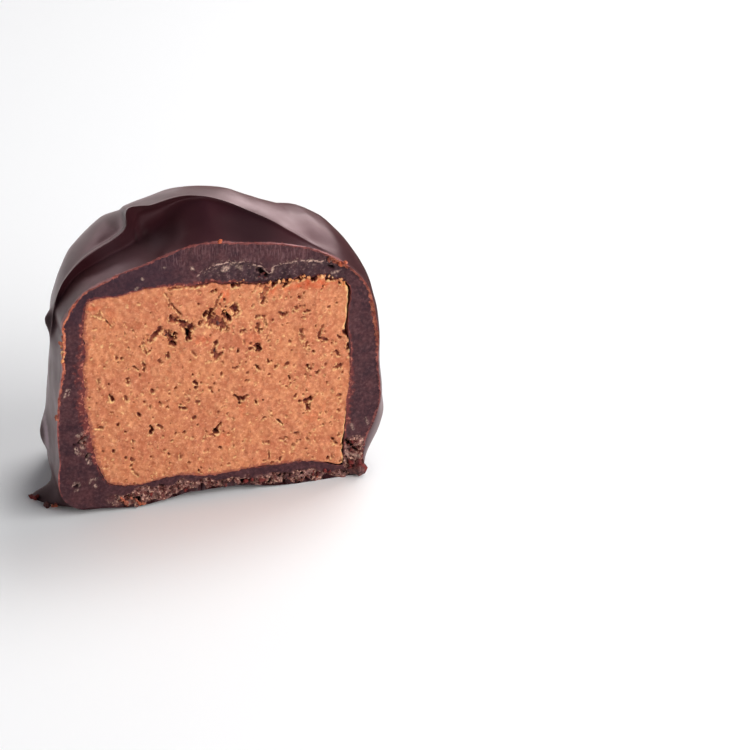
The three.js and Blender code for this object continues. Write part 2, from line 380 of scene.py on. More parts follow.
def block_rows(angle, radius, depth):
    """Rings that close a block from its outline at the cut (row 0) to the pole behind."""
    rings = []
    for turn in np.linspace(0, np.pi / 2, CAVITY_ROWS + 1):
        across, along = superellipse(turn, BLOCK_SQUARENESS)
        rings.append(polar(angle, radius * across, depth * along))
    return np.array(rings)


# -------------------- place in the frame

filling_low, filling_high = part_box(FILLING_NODE)
outline_x = polar(ANGLES, filling_edge(ANGLES), 0)[:, 0]
middle_x = (outline_x.min() + outline_x.max()) / 2
ORIGIN = np.array([
    (filling_low.x + filling_high.x) / 2 - middle_x * MM,
    filling_low.y,
    cad_bounds[0][2],
])


def to_frame(points):
    return points * MM + ORIGIN


def frame_vector(point):
    return Vector(to_frame(np.array(point, float)))


def make_mesh(name, points, faces, materials, material_index=None, attributes=None):
    mesh = bpy.data.meshes.new(name)
    mesh.from_pydata(to_frame(points), [], faces)
    for material in materials:
        mesh.materials.append(material)
    if material_index is not None:
        mesh.polygons.foreach_set("material_index", material_index.astype(np.int32))
    mesh.polygons.foreach_set("use_smooth", np.ones(len(mesh.polygons), bool))
    for key, values in (attributes or {}).items():
        attribute = mesh.attributes.new(key, "FLOAT", "POINT")
        attribute.data.foreach_set("value", np.asarray(values, np.float32).ravel())
    mesh.update()
    piece = bpy.data.objects.new(name, mesh)
    bpy.context.scene.collection.objects.link(piece)
    return piece


def ring_faces(row_count, ring_size):
    """Quads between rings of points, facing outwards when the rings run cut to back outside."""
    row = np.arange(row_count - 1)[:, None] * ring_size
    i = np.arange(ring_size)[None, :]
    j = (i + 1) % ring_size
    quads = np.stack([row + i, row + i + ring_size, row + j + ring_size, row + j], -1)
    return quads.reshape(-1, 4)


# -------------------- materials

def srgb(red, green, blue):
    """A colour given as screen values from 0 to 255, as linear light with alpha."""
    def linear(value):
        c = value / 255
        return c / 12.92 if c <= 0.04045 else ((c + 0.055) / 1.055) ** 2.4
    return (linear(red), linear(green), linear(blue), 1.0)


class Shader:
    """A node material with a colour that is painted over step by step, in millimetres."""

    def __init__(self, name, color, **settings):
        self.material = bpy.data.materials.new(name)
        self.material.use_nodes = True
        self.tree = self.material.node_tree
        self.bsdf = self.tree.nodes["Principled BSDF"]
        self.color = color
        for key, value in settings.items():
            self.bsdf.inputs[key.replace("_", " ")].default_value = value
        in_metres = self.node("TexCoord").outputs["Object"]
        self.position = self.mapping(in_metres, (1 / MM,) * 3)

    def link(self, value, socket):
        if isinstance(value, bpy.types.NodeSocket):
            self.tree.links.new(value, socket)
        else:
            socket.default_value = value

    def node(self, kind, **inputs):
        """A new node whose inputs are set to values or linked to sockets."""
        node = self.tree.nodes.new("ShaderNode" + kind)
        for key, value in inputs.items():
            self.link(value, node.inputs[key.replace("_", " ")])
        return node

    def mapping(self, vector, scale):
        return self.node("Mapping", Vector=vector, Scale=scale).outputs["Vector"]

    def noise(self, size, detail=2.0, roughness=0.5, stretch=None):
        """Noise from 0 to 1 with features about `size` across."""
        vector = self.mapping(self.position, stretch) if stretch else self.position
        return self.node("TexNoise", Vector=vector, Scale=1 / size, Detail=detail,
                         Roughness=roughness).outputs["Fac"]

    def cells(self, size):
        """Distance to the middle of the nearest of random cells, in parts of `size`."""
        return self.node("TexVoronoi", Vector=self.position, Scale=1 / size).outputs["Distance"]

    def attribute(self, name):
        node = self.node("Attribute")
        node.attribute_name = name
        return node.outputs["Fac"]

    def ramp(self, value, low, high, start=0.0, end=1.0):
        """Takes value from low..high to start..end, held at the ends."""
        return self.node("MapRange", Value=value, From_Min=low, From_Max=high, To_Min=start,
                         To_Max=end).outputs["Result"]

    def maths(self, operation, a, b=0.0):
        node = self.node("Math")
        node.operation = operation
        self.link(a, node.inputs[0])
        self.link(b, node.inputs[1])
        return node.outputs["Value"]

    def plus(self, a, b):
        return self.maths("ADD", a, b)

    def times(self, a, b):
        return self.maths("MULTIPLY", a, b)

    def mix(self, share, a, b, blend="MIX"):
        node = self.node("Mix")
        node.data_type = "RGBA"
        node.blend_type = blend
        for key, value in (("Factor", share), ("A", a), ("B", b)):
            self.link(value, node.inputs[key])
        return node.outputs["Result"]

    def paint(self, share, color, blend="MIX"):
        """Lays a colour over what is there, by a share from 0 to 1."""
        self.color = self.mix(share, self.color, color, blend)

    def tint(self, value, low, high, most, color):
        """Lays a colour over what is there, by 0 where value is low and `most` where high."""
        self.paint(self.ramp(value, low, high, 0.0, most), color)

    def flecks(self, share, size, light, dark):
        """Breaks the colour up into small light and dark scraps where `share` is 1."""
        scraps = self.noise(size, 3.0, 0.7)
        pale = self.times(share, self.ramp(scraps, 0.56, 0.66))
        deep = self.times(share, self.ramp(scraps, 0.44, 0.34))
        self.paint(pale, light)
        self.paint(deep, dark)

    def burr_reach(self):
        """How far a point lies inside the ragged burr round the cut, in millimetres."""
        ragged = self.ramp(self.noise(0.4, 3.0, 0.65), 0.3, 0.7, -0.14, 0.14)
        edge = self.plus(self.attribute("edge"), ragged)
        return self.maths("SUBTRACT", self.attribute("burr"), edge)

    def bump(self, height, distance, strength, before=None):
        """Bump from a height of 0 to 1 that stands for `distance` millimetres."""
        node = self.node("Bump", Height=height, Strength=strength, Distance=distance * MM)
        if before is not None:
            self.link(before, node.inputs["Normal"])
        return node.outputs["Normal"]

    def finish(self, roughness, normal=None):
        self.link(self.color, self.bsdf.inputs["Base Color"])
        self.link(roughness, self.bsdf.inputs["Roughness"])
        if normal is not None:
            self.link(normal, self.bsdf.inputs["Normal"])
        return self.material


def coat_material():
    """The set outside of the dark coat: satin, with the finest grain, and spots of painted shade
    and of painted highlight.
    """
    s = Shader("dark_chocolate_outside", (0.027, 0.0062, 0.0085, 1.0),
               Specular_Tint=(1.0, 0.66, 0.7, 1.0), Sheen_Weight=0.15, Sheen_Roughness=0.4,
               Sheen_Tint=(1.0, 0.5, 0.48, 1.0))
    s.tint(s.noise(4.0, 3.0, 0.6), 0.35, 0.7, 1.0, (0.035, 0.0088, 0.0115, 1.0))
    # Painted shade: the outside is painted darker in the spots listed above, and made rougher too.
    dull_and_shaded = s.attribute("dull_and_shaded")
    s.paint(dull_and_shaded, (0.008, 0.003, 0.005, 1.0))
    # Painted highlight: a faint pale sheen on the left shelf and a pale crescent low on the left
    # side.
    s.paint(s.attribute("painted_highlight"), srgb(190, 168, 178))
    s.tint(s.burr_reach(), 0.06, 0.16, 0.8, srgb(128, 66, 62))
    roughness = s.ramp(s.noise(1.6, 4.0, 0.6), 0.3, 0.75, 0.3, 0.4)
    roughness = s.plus(roughness, s.times(dull_and_shaded, 0.5))
    waves = s.bump(s.noise(2.4, 3.0, 0.45), 0.05, 0.5)
    return s.finish(roughness, s.bump(s.noise(0.22), 0.012, 0.25, waves))


def cut_material():
    """Dark chocolate where the knife went through: dull, purple-brown and finely specked."""
    s = Shader("dark_chocolate_cut", srgb(57, 31, 38), Specular_IOR_Level=0.25)
    s.tint(s.noise(1.4, 3.0, 0.6), 0.36, 0.66, 1.0, srgb(82, 47, 50))
    s.tint(s.noise(0.3, 3.0, 0.6), 0.45, 0.7, 0.35, srgb(96, 61, 66))
    specks = s.ramp(s.cells(0.5), 0.05, 0.12, 1.0, 0.0)
    chosen = s.ramp(s.noise(0.7, 1.0), 0.55, 0.65, 0.0, 0.6)
    s.paint(s.times(specks, chosen), srgb(138, 104, 100))
    fine = s.noise(0.3, 3.0, 0.65)
    s.tint(fine, 0.53, 0.68, 0.35, srgb(110, 72, 74))
    s.tint(fine, 0.48, 0.34, 0.6, srgb(46, 26, 34))
    # Painted shade: the upper left of the cut chocolate, below the crest, is darkened.
    s.paint(s.attribute("deep"), srgb(48, 30, 44))

    streaks = s.noise(0.13, 3.0, 0.6, stretch=(1.0, 1.0, 0.14))
    dragged = s.times(s.ramp(streaks, 0.5, 0.66), s.attribute("drag"))
    s.paint(s.times(dragged, 0.55), srgb(126, 90, 92))

    broken = s.attribute("broken")
    crack = s.plus(s.attribute("crack"), s.ramp(s.noise(0.35, 3.0), 0.2, 0.8, -0.12, 0.12))
    under = s.times(broken, s.ramp(crack, 0.02, -0.06))
    shadow = srgb(34, 22, 26)
    s.paint(s.times(under, 0.5), srgb(64, 46, 52))
    s.flecks(s.times(under, 0.55), 0.26, srgb(148, 116, 108), shadow)
    away = s.maths("ABSOLUTE", crack)
    line = s.times(s.ramp(away, 0.05, 0.1, 1.0, 0.0), s.ramp(s.noise(0.32), 0.5, 0.58))
    around_crack = s.times(broken, s.ramp(away, 0.45, 0.1))
    s.flecks(s.times(around_crack, 0.9), 0.2, srgb(178, 142, 126), shadow)
    s.paint(s.times(line, broken), srgb(196, 160, 146))

    crumble = s.attribute("crumble")
    flakes = s.mix(s.ramp(s.noise(0.6), 0.42, 0.58), srgb(114, 62, 56), srgb(156, 112, 104))
    s.paint(s.times(crumble, 0.8), flakes)
    s.flecks(s.times(crumble, 1.7), 0.26, srgb(212, 168, 146), srgb(24, 13, 15))
    scrap = s.times(s.attribute("fleck"), s.ramp(s.noise(0.16), 0.36, 0.56))
    s.paint(scrap, srgb(204, 170, 152))
    # Painted shade: the pits broken out of the cut go near black with their depth.
    s.tint(s.attribute("pit"), 0.05, 0.3, 1.0, srgb(22, 12, 13))

    seam = s.plus(s.attribute("seam"), s.ramp(s.noise(0.4, 3.0), 0.3, 0.7, -0.4, 0.4))
    s.tint(seam, 0.35, 0.8, 0.75, srgb(122, 56, 52))
    lumps = s.times(s.ramp(seam, 0.5, 0.9), s.ramp(s.noise(0.3), 0.54, 0.64))
    s.paint(s.times(lumps, 0.75), srgb(206, 122, 100))

    thick = s.ramp(s.attribute("burr"), 0.16, 0.3)
    dark = s.mix(thick, srgb(108, 54, 52), srgb(136, 60, 50))
    light = s.mix(thick, srgb(158, 88, 82), srgb(214, 130, 98))
    burr = s.mix(s.ramp(s.noise(0.5, 3.0, 0.7), 0.4, 0.64), dark, light)
    s.tint(s.burr_reach(), -0.02, 0.05, 0.9, burr)

    normal = s.bump(s.noise(0.14, 4.0, 0.7), 0.05, 0.5)
    normal = s.bump(streaks, 0.04, 0.2, normal)
    return s.finish(s.ramp(s.noise(0.5, 3.0), 0.3, 0.7, 0.5, 0.72), normal)


def buttercream_material():
    """Dense tan cream, matt and softly mottled, with pores and torn holes, painted shade in them
    and painted highlights on their lips.
    """
    s = Shader("buttercream", srgb(196, 119, 86), Specular_IOR_Level=0.25,
               Subsurface_Weight=0.12, Subsurface_Scale=0.8 * MM,
               Subsurface_Radius=(1.0, 0.45, 0.25))
    s.tint(s.noise(3.0, 3.0, 0.55), 0.36, 0.64, 1.0, srgb(207, 132, 92))
    mottle = s.noise(0.34, 3.0, 0.6)
    s.tint(mottle, 0.5, 0.72, 0.6, srgb(236, 168, 126))
    s.tint(mottle, 0.48, 0.28, 0.6, srgb(176, 94, 64))
    curds = s.noise(0.8)
    s.tint(curds, 0.52, 0.66, 0.4, srgb(228, 156, 112))
    s.tint(curds, 0.48, 0.36, 0.4, srgb(178, 96, 66))
    grain = s.noise(0.16, 2.0, 0.6)
    s.tint(grain, 0.6, 0.74, 0.35, srgb(250, 204, 164))
    s.tint(grain, 0.38, 0.26, 0.35, srgb(150, 78, 52))
    dots = s.ramp(s.cells(0.6), 0.06, 0.14, 1.0, 0.0)
    chosen = s.ramp(s.noise(0.9), 0.5, 0.58, 0.0, 0.8)
    s.paint(s.times(dots, chosen), srgb(128, 62, 44))
    stain = s.times(s.attribute("warm"), s.ramp(s.noise(0.4), 0.35, 0.6, 0.4, 1.4))
    s.paint(stain, (1.0, 0.52, 0.42, 1.0), "MULTIPLY")
    # Painted highlight: the lips just below the holes and pores are painted pale, as if lit.
    pale = s.ramp(s.noise(0.22), 0.4, 0.62, 0.0, 0.8)
    s.paint(s.times(s.attribute("lip"), pale), srgb(252, 210, 146))
    smear = s.plus(s.attribute("smear"), s.ramp(s.noise(0.3, 3.0), 0.3, 0.7, -0.5, 0.5))
    s.tint(smear, 0.4, 1.0, 0.8, srgb(150, 80, 68))
    lit = s.times(s.attribute("lit"), s.ramp(mottle, 0.3, 0.5, 0.5, 0.95))
    s.paint(lit, srgb(242, 190, 132))
    # Painted shade in the holes and pores: the cream turns browner with depth, with darker brown
    # scraps, and near black where deepest.
    hole = s.attribute("hole")
    s.tint(hole, 0.03, 0.26, 0.9, srgb(158, 86, 60))
    scraps = s.mix(s.ramp(s.noise(0.28), 0.4, 0.6), srgb(96, 44, 38), srgb(148, 80, 64))
    s.tint(hole, 0.2, 0.48, 1.0, scraps)
    s.tint(hole, 0.75, 1.1, 1.0, srgb(20, 10, 10))
    normal = s.bump(grain, 0.04, 0.4, s.bump(mottle, 0.12, 0.45))
    return s.finish(s.ramp(mottle, 0.2, 0.8, 0.75, 0.95), normal)


def crumb_material(name, dark, light, stain):
    s = Shader(name, dark, Specular_IOR_Level=0.3)
    s.tint(s.noise(0.3, 3.0, 0.7), 0.35, 0.65, 1.0, light)
    s.tint(s.noise(1.3, 1.0), 0.46, 0.56, 0.7, stain)
    return s.finish(0.75, s.bump(s.noise(0.15, 3.0, 0.7), 0.05, 0.6))


# -------------------- the coat

# Where the outside is painted darker as painted shade, and made rougher: [x, y, z, radius,
# strength].
DULL_AND_SHADED_SPOTS = [
    [-13.6, 3.8, 17.2, 1.1, 1.0], [-13.25, 3.0, 18.7, 0.8, 0.9], [-12.95, 2.8, 19.8, 0.7, 0.7],
    [-14.8, 5.3, 6.3, 0.75, 0.6], [-14.7, 5.5, 5.5, 0.6, 0.6], [-15.4, 4.0, 0.9, 1.9, 0.8],
    [-14.0, 1.5, 1.0, 2.0, 0.6], [3.7, 1.4, 24.9, 2.2, 0.5], [-3.5, 2.4, 24.4, 1.4, 0.6],
]
# Where it is painted paler, as a painted highlight, in the same form.
PAINTED_HIGHLIGHT_SPOTS = [
    [-7.5, 1.6, 23.1, 2.0, 0.06], [-5.5, 2.2, 23.6, 1.8, 0.05], [-14.35, 5.2, 7.3, 0.4, 0.3],
    [-14.38, 4.85, 7.05, 0.4, 0.38], [-14.4, 4.5, 6.8, 0.4, 0.46], [-14.4, 4.3, 6.45, 0.4, 0.5],
    [-14.4, 4.15, 6.1, 0.4, 0.5], [-14.4, 4.15, 5.7, 0.4, 0.46], [-14.4, 4.2, 5.3, 0.4, 0.36],
]

# Widths and gaps round the cut, as [angle, width]: how ragged the seam is, how far the
# buttercream came away, the tinted line beside it, the burr on the coat's edge, and the smear
# and the lit edge on the buttercream.
seam_ragged = around([
    [0, 0.06], [30, 0.06], [35, 0.2], [42, 0.26], [84, 0.24], [94, 0.1], [140, 0.1],
    [155, 0.2], [195, 0.2], [215, 0.06], [300, 0.05],
])
come_away = around([
    [0, 0.0], [12, 0.02], [18, 0.18], [24, 0.26], [29, 0.24], [34, 0.13], [39, 0.12],
    [44, 0.2], [58, 0.16], [64, 0.05], [84, 0.05], [92, 0.0], [97, 0.1], [109, 0.09],
    [114, 0.0], [200, 0.0], [314, 0.0], [318, 0.2], [322, 0.22], [330, 0.16], [338, 0.0],
])
seam_tint = around([
    [0, 0.3], [14, 0.12], [40, 0.08], [80, 0.14], [97, 0.28], [111, 0.25], [118, 0.12],
    [140, 0.2], [152, 0.45], [165, 0.55], [192, 0.6], [208, 0.3], [225, 0.08], [300, 0.06],
    [325, 0.15], [338, 0.4], [350, 0.4],
])
burr_width = around([
    [0, 0.16], [8, 0.26], [16, 0.3], [24, 0.28], [34, 0.2], [38, 0.2], [43, 0.42], [48, 0.2],
    [60, 0.12], [90, 0.13], [120, 0.16], [137, 0.22], [144, 0.32], [150, 0.3], [158, 0.32],
    [165, 0.28], [182, 0.2], [190, 0.13], [205, 0.14], [213, 0.0], [220, -0.12], [305, -0.12],
    [325, 0.1],
])
seam_smear = around([
    [0, 0.1], [15, 0.0], [85, 0.0], [95, 0.2], [120, 0.2], [145, 0.5], [200, 0.5],
    [225, 0.4], [285, 0.42], [305, 0.5], [317, 0.45], [320.5, 0.0], [335, 0.0], [350, 0.16],
])
lit_edge = around([
    [0, 0.0], [13, 0.0], [18, 0.2], [33, 0.26], [37, 0.0], [200, 0.0], [318, 0.0],
    [320.5, 0.34], [323, 0.28], [328, 0.14], [336, 0.08], [344, 0.0],
])

# Where the crown of the coat cracked above the buttercream: [x, z] along the crack.
CRACK_LINE = [
    [-1.4, 21.7], [-0.4, 22.2], [0.4, 22.5], [1.2, 22.6], [2.7, 22.4], [3.6, 22.0],
    [4.2, 21.8], [4.8, 20.95], [5.05, 21.1], [5.2, 21.6], [6.6, 21.8], [7.6, 21.85],
    [8.4, 21.7], [9.8, 21.5], [11.4, 21.2],
]
CRACK_ENDS = [[-1.7, -1.0], [11.9, 11.3]]  # x from where it is whole to where it is broken
CROWN_FROM = 15  # height that only the crown lies above

# Height of the crumbled strip along the base: [x, z].
CRUMBLED_BASE = [[-9.0, 1.9], [-5.5, 2.1], [1.7, 1.9], [5.6, 1.55], [10.0, 1.05]]

# Pits broken out of the cut chocolate: [x, z, to x, to z, half width, depth].
COAT_PITS = [
    [-12.9, 3.2, -12.7, 3.2, 0.14, 0.3], [-5.5, 1.9, -5.3, 1.9, 0.16, 0.5],
    [-8.5, 1.3, -8.4, 1.3, 0.18, 0.5], [-7.7, 1.1, -7.4, 0.9, 0.2, 0.6],
    [-5.9, 21.1, -5.7, 21.1, 0.15, 0.4], [3.9, 21.5, 4.6, 20.9, 0.17, 0.5],
    [2.0, 1.1, 2.9, 1.0, 0.17, 0.6], [3.5, 0.7, 4.4, 0.6, 0.18, 0.6],
    [5.2, 1.0, 6.0, 1.0, 0.1, 0.4], [7.2, 0.8, 7.6, 0.8, 0.12, 0.4],
    [11.6, 3.6, 12.0, 3.1, 0.17, 0.5], [12.3, 2.6, 12.6, 2.3, 0.14, 0.5],
    [11.7, 1.6, 12.0, 1.3, 0.15, 0.5], [-13.25, 16.9, -13.3, 16.2, 0.07, 0.5],
    [-12.3, 7.6, -11.8, 7.9, 0.13, 0.3], [-11.8, 5.9, -11.6, 6.2, 0.1, 0.3],
    [10.1, 20.9, 10.5, 20.8, 0.1, 0.3], [-12.1, 8.05, -12.0, 7.95, 0.08, 0.4],
    [-11.95, 7.45, -11.85, 7.4, 0.08, 0.4], [-12.4, 7.4, -12.3, 7.3, 0.08, 0.4],
    [-12.75, 7.3, -12.7, 7.2, 0.07, 0.3],
]

# Pale dots and scraps on the cut chocolate: [x, z, to x, to z, half width, strength].
COAT_FLECKS = [
    [-1.8, 22.5, -1.8, 22.5, 0.2, 1.0], [-6.1, 22.1, -6.1, 22.2, 0.14, 0.6],
    [-4.2, 22.9, -4.2, 22.9, 0.13, 0.5], [-6.7, 21.2, -6.6, 21.4, 0.14, 0.5],
    [-11.2, 3.0, -11.1, 2.9, 0.16, 1.0], [10.4, 20.3, 10.9, 20.35, 0.13, 0.7],
    [-12.6, 6.6, -12.3, 6.3, 0.16, 0.6], [-11.5, 5.4, -11.4, 5.3, 0.14, 0.7],
    [-12.0, 8.3, -11.5, 8.0, 0.15, 0.5], [12.0, 5.3, 12.2, 4.7, 0.12, 0.5],
    [13.3, 5.7, 13.6, 5.0, 0.12, 0.4], [11.6, 2.2, 12.8, 1.8, 0.16, 0.6],
    [-12.95, 3.45, -12.6, 3.45, 0.13, 0.35], [0.9, 22.2, 1.2, 22.3, 0.13, 0.5],
    [2.1, 22.0, 2.4, 21.9, 0.18, 0.9], [0.8, 21.9, 1.3, 22.05, 0.2, 0.9],
    [1.6, 22.35, 1.9, 22.45, 0.16, 0.8], [5.1, 21.1, 5.2, 21.5, 0.15, 0.8],
    [8.3, 21.75, 8.6, 21.75, 0.16, 0.9], [6.9, 21.8, 7.1, 21.85, 0.13, 0.8],
    [-13.05, 3.3, -12.9, 3.5, 0.1, 0.7], [-12.65, 3.45, -12.55, 3.2, 0.1, 0.7],
    [-12.95, 2.8, -12.65, 2.8, 0.1, 0.6], [-11.45, 6.15, -11.65, 5.9, 0.09, 0.9],
    [-11.7, 5.75, -11.6, 5.35, 0.09, 1.0], [-11.6, 3.3, -11.45, 3.65, 0.09, 0.7],
    [-11.45, 3.65, -10.95, 3.6, 0.09, 0.6], [-13.3, 12.0, -13.1, 12.6, 0.09, 0.8],
    [-13.1, 12.65, -12.75, 12.7, 0.1, 0.9], [-12.75, 12.7, -12.95, 12.1, 0.08, 0.5],
    [-12.45, 8.2, -12.3, 8.1, 0.11, 0.9], [-11.8, 7.7, -11.7, 7.6, 0.12, 1.0],
    [-12.25, 7.7, -12.15, 7.55, 0.1, 0.9], [-12.65, 6.95, -12.5, 6.65, 0.14, 1.0],
    [-12.1, 7.1, -12.0, 6.9, 0.09, 0.8], [-11.95, 8.45, -11.7, 8.4, 0.11, 1.0],
]


def stroke_reach(x, z, stroke):
    """Distance from each point to a short straight stroke, in parts of its half width."""
    start_x, start_z, end_x, end_z, half_width = stroke[:5]
    run_x, run_z = end_x - start_x, end_z - start_z
    length = run_x ** 2 + run_z ** 2 + 1e-9
    share = np.clip(((x - start_x) * run_x + (z - start_z) * run_z) / length, 0, 1)
    return np.hypot(x - start_x - share * run_x, z - start_z - share * run_z) / half_width


def strokes_cut(x, z, torn, strokes):
    """Depth of a set of strokes with torn sides, and the lips just below them (0 to 1), for a
    raised rim and a painted highlight.
    """
    depth = np.zeros_like(x)
    lip = np.zeros_like(x)
    for stroke in strokes:
        inside = 1.5 * (1.1 - stroke_reach(x, z, stroke) + 0.8 * torn)
        np.maximum(depth, stroke[5] * np.clip(inside, 0, 1), out=depth)
        below = stroke_reach(x, z + 0.12, stroke)
        np.maximum(lip, 1 - smoothstep(below, 0.8, 1.7), out=lip)
    return depth, lip


def cut_place(x, z):
    """Points on the cut plane."""
    return np.stack([x, np.zeros_like(x), z], -1)


SEAM_WAVE = 0.06
smooth_seam = ring_smooth(filling_edge(ANGLES), 2.0)
seam_table = np.append(smooth_seam, smooth_seam[0])


def seam_radius(angle):
    """The edge of the buttercream in the cut, a little ragged."""
    smooth = np.interp(np.mod(angle, 360), np.append(ANGLES, 360), seam_table)
    a = np.radians(angle)
    spot = np.stack([smooth * np.cos(a), 0 * a, smooth * np.sin(a)], -1)
    ragged = seam_ragged(angle) * noise(spot, 0.5, 3, 3)
    return smooth + ragged + SEAM_WAVE * noise(spot, 2.5, 4)


def crack_height(x, z):
    """Height above the crack in the crown, and where the crown is broken (0 to 1)."""
    left, right = CRACK_ENDS
    broken = smoothstep(x, *left) * smoothstep(x, *right) * (z > CROWN_FROM)
    return z - np.interp(x, *zip(*CRACK_LINE)), broken


def crumble_mask(x, z):
    """1 where the coat broke up instead of cutting: the base, the right corner, the left wall."""
    ragged = 0.35 * noise(cut_place(x, z), 1.2, 21, 2)
    top = np.interp(x, *zip(*CRUMBLED_BASE))
    base = smoothstep(top + ragged - z, 0.0, 0.3) * smoothstep(x, -10.5, -8.5)
    corner = smoothstep(2.2 + ragged - np.hypot((x - 12.6) * 1.2, z - 1.8), 0.0, 0.7)
    left = 0.9 * smoothstep(0.7 + ragged - np.hypot(x + 12.0, (z - 7.3) / 1.6), 0, 0.4)
    return np.clip(base + corner + left, 0, 1)


def strongest(marks, reach_of, far, near):
    """The strongest of soft marks at each point; a mark's last number is its strength."""
    return np.max([mark[-1] * smoothstep(reach_of(mark), far, near) for mark in marks], 0)


def spot_mask(points, spots):
    def reach(spot):
        return np.linalg.norm(points - spot[:3], axis=-1) / spot[3]
    return strongest(spots, reach, 1.6, 0.4)


def drag_mask(x, z, share):
    """1 on the upper part of the crown, where the knife dragged short upright streaks."""
    reach = 0.25 * noise(cut_place(x, z), 0.9, 22, 2)
    return smoothstep(share + reach, 0.5, 0.75) * smoothstep(z, 20.5, 22) * smoothstep(x, -6, -3)


# Heights of the relief of the cut chocolate.
WAVES, GRAIN, STREAKS = 0.05, 0.02, 0.03
CRUMBLE_SINK, CRUMBLE_RELIEF = 0.1, 0.28
BROKEN_SINK, BROKEN_RELIEF = 0.12, 0.12
BURR_ROOT = 0.3  # how far in from the edge the burr begins to rise


def coat_face(x, z, share, thickness):
    """How far the cut chocolate stands back from the cut, and what its material needs."""
    spot = cut_place(x, z)
    crumble = crumble_mask(x, z)
    drag = drag_mask(x, z, share)
    crack, broken = crack_height(x, z)
    under = broken * smoothstep(crack, 0.05, -0.1)
    pit = strokes_cut(x, z, noise(spot, 0.3, 17, 3, 0.6), COAT_PITS)[0]
    edge = (1 - share) * thickness
    relief = WAVES * noise(spot, 3.0, 11) + GRAIN * noise(spot, 0.5, 12, 2)
    relief = relief + crumble * (CRUMBLE_SINK + CRUMBLE_RELIEF * noise(spot, 0.45, 13, 3, 0.7))
    relief = relief + under * (BROKEN_SINK + BROKEN_RELIEF * noise(spot, 0.5, 16, 3)) + pit
    streak = noise(spot * np.array([1.0, 1.0, 0.12]), 0.22, 14, 2)
    relief = relief + STREAKS * drag * streak
    burr = 1 - smoothstep(edge, 0.0, BURR_ROOT)
    relief = relief - burr * burr_width(ANGLES) * (0.7 + 0.9 * noise(spot, 0.6, 15, 3))
    fleck = strongest(COAT_FLECKS, lambda stroke: stroke_reach(x, z, stroke), 1.0, 0.4)
    seam = 1 - share * thickness / seam_tint(ANGLES) * 0.5
    # Painted shade for the upper left of the cut chocolate.
    deep = 0.5 * smoothstep(x, -1.5, -5.0) * smoothstep(z, 17.5, 19.5)
    attributes = {"edge": edge, "deep": deep, "crumble": crumble, "drag": drag, "crack": crack,
                  "broken": broken, "pit": pit, "fleck": fleck, "seam": np.maximum(seam, 0)}
    return relief, attributes


BASE_BITES = 0.6  # most that the crumbled rim of the cut falls short of the base
RIPPLE_HEIGHT, RIPPLE_SIZE = 0.07, 3.2
BURR_ROWS = 14  # rows of the outside that can carry the burr's colour
FAR_FROM_EDGE = 9.0  # stands for any distance that the burr doesn't reach


def build_coat():
    outside = coat_outside()
    cavity = block_rows(ANGLES, filling_edge(ANGLES) + SEAM, FILLING_DEPTH + SEAM)[::-1]
    inner_ring = polar(ANGLES, seam_radius(ANGLES) + SEAM, 0)
    thickness = np.linalg.norm(outside[0] - inner_ring, axis=-1)
    share = np.repeat(np.linspace(0, 1, CUT_ROWS + 1)[:, None], AROUND, 1)
    ring = lerp(inner_ring, outside[0], share[..., None])
    relief, looks = coat_face(ring[..., 0], ring[..., 2], share, thickness)
    bitten = np.clip(0.1 + noise(ring[-1], 0.9, 32, 3), 0, 1) * looks["crumble"][-1]
    ring = lerp(ring, inner_ring, (BASE_BITES * bitten / thickness * share)[..., None])
    ring[..., 1] = relief
    outside[0] = ring[-1]

    ripple = RIPPLE_HEIGHT * noise(outside, RIPPLE_SIZE, 31, 2)
    ripple = ripple * smoothstep(outside[..., 1], 0.2, 2.0) * smoothstep(outside[..., 2], 0.05, 1.0)
    outside = outside + grid_normals(outside) * ripple[..., None]
    outside[-1] = outside[-1].mean(0)

    rows = np.concatenate([cavity, ring, outside[1:]])
    count = len(rows)
    first, last = len(cavity), len(cavity) + CUT_ROWS
    row_of_face = np.repeat(np.arange(count - 1), AROUND)
    on_cut = (row_of_face >= first) & (row_of_face < last)

    def from_row(start, values):
        field = np.zeros((count, AROUND))
        field[start:start + len(values)] = values
        return field

    attributes = {name: from_row(first, values) for name, values in looks.items()}
    attributes["dull_and_shaded"] = from_row(last, spot_mask(outside, DULL_AND_SHADED_SPOTS))
    attributes["painted_highlight"] = from_row(last, spot_mask(outside, PAINTED_HIGHLIGHT_SPOTS))
    attributes["edge"][last:] = FAR_FROM_EDGE
    attributes["edge"][last:last + BURR_ROWS] = outside[:BURR_ROWS, :, 1]
    attributes["burr"] = np.broadcast_to(burr_width(ANGLES), (count, AROUND))
    coat = make_mesh("chocolate_coat", rows.reshape(-1, 3), ring_faces(count, AROUND),
                     [coat_material(), cut_material()], on_cut.astype(int), attributes)
    tidy_mesh(coat, 55)
    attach(coat, "root")
    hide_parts(COAT_NODE)


def tidy_mesh(piece, sharp):
    """Merges the points of each pole, and keeps corners of over `sharp` degrees sharp."""
    mesh = bmesh.new()
    mesh.from_mesh(piece.data)
    bmesh.ops.remove_doubles(mesh, verts=mesh.verts, dist=1e-7)
    bmesh.ops.dissolve_degenerate(mesh, dist=1e-8, edges=mesh.edges)
    bmesh.ops.recalc_face_normals(mesh, faces=mesh.faces)
    mesh.to_mesh(piece.data)
    mesh.free()
    piece.data.set_sharp_from_angle(angle=math.radians(sharp))


# -------------------- the buttercream

